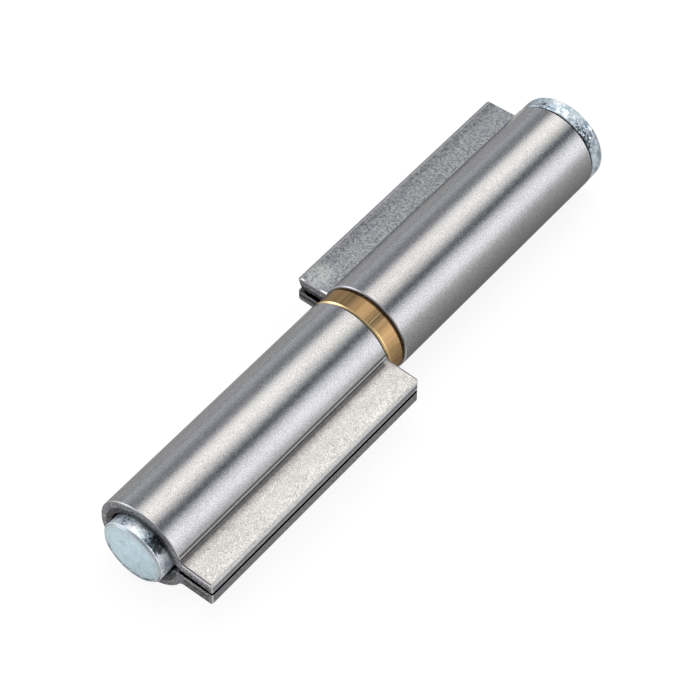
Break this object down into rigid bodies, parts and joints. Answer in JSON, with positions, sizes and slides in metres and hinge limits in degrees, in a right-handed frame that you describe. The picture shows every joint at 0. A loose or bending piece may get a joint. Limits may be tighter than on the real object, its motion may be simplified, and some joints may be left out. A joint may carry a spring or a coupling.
{
  "type": "removable pin hinge",
  "caption": "Weld-on hinge with two rolled sheet knuckles, doubled weld leaves, a brass bearing ring and a headed pin that draws out.",
  "frame": {"origin": "on the pin's axis, at the middle of the overall length from the pin's plain end to its head", "axes": "+Y along the pin towards its head, +X out of the frame's leaf and -X out of the door's leaf, +Z square to the leaves' broad faces, on the side of the pressed shoulder"},
  "size_m": [0.034, 0.133, 0.02],
  "materials": {
    "frame_steel": "satin",
    "door_steel": "satin",
    "ring_brass": "turned",
    "pin_zinc": "zinc plated"
  },
  "bodies": {
    "frame_half": {"frame_knuckle": "frame_steel"},
    "door_half": {"door_knuckle": "door_steel"},
    "ring": {"bearing_ring": "ring_brass"},
    "pin": {"hinge_pin": "pin_zinc"}
  },
  "joints": [
    {"name": "door_swing", "type": "hinge", "parent": "frame_half", "child": "door_half", "pos_m": [0, 0.0318, 0], "axis": [0, 1, 0], "continuous": true},
    {"name": "ring_spin", "type": "hinge", "parent": "frame_half", "child": "ring", "pos_m": [0, -0.0012, 0], "axis": [0, 1, 0], "continuous": true},
    {"name": "pin_draw", "type": "slide", "parent": "frame_half", "child": "pin", "axis": [0, 1, 0], "range_m": [0, 0.135]}
  ]
}
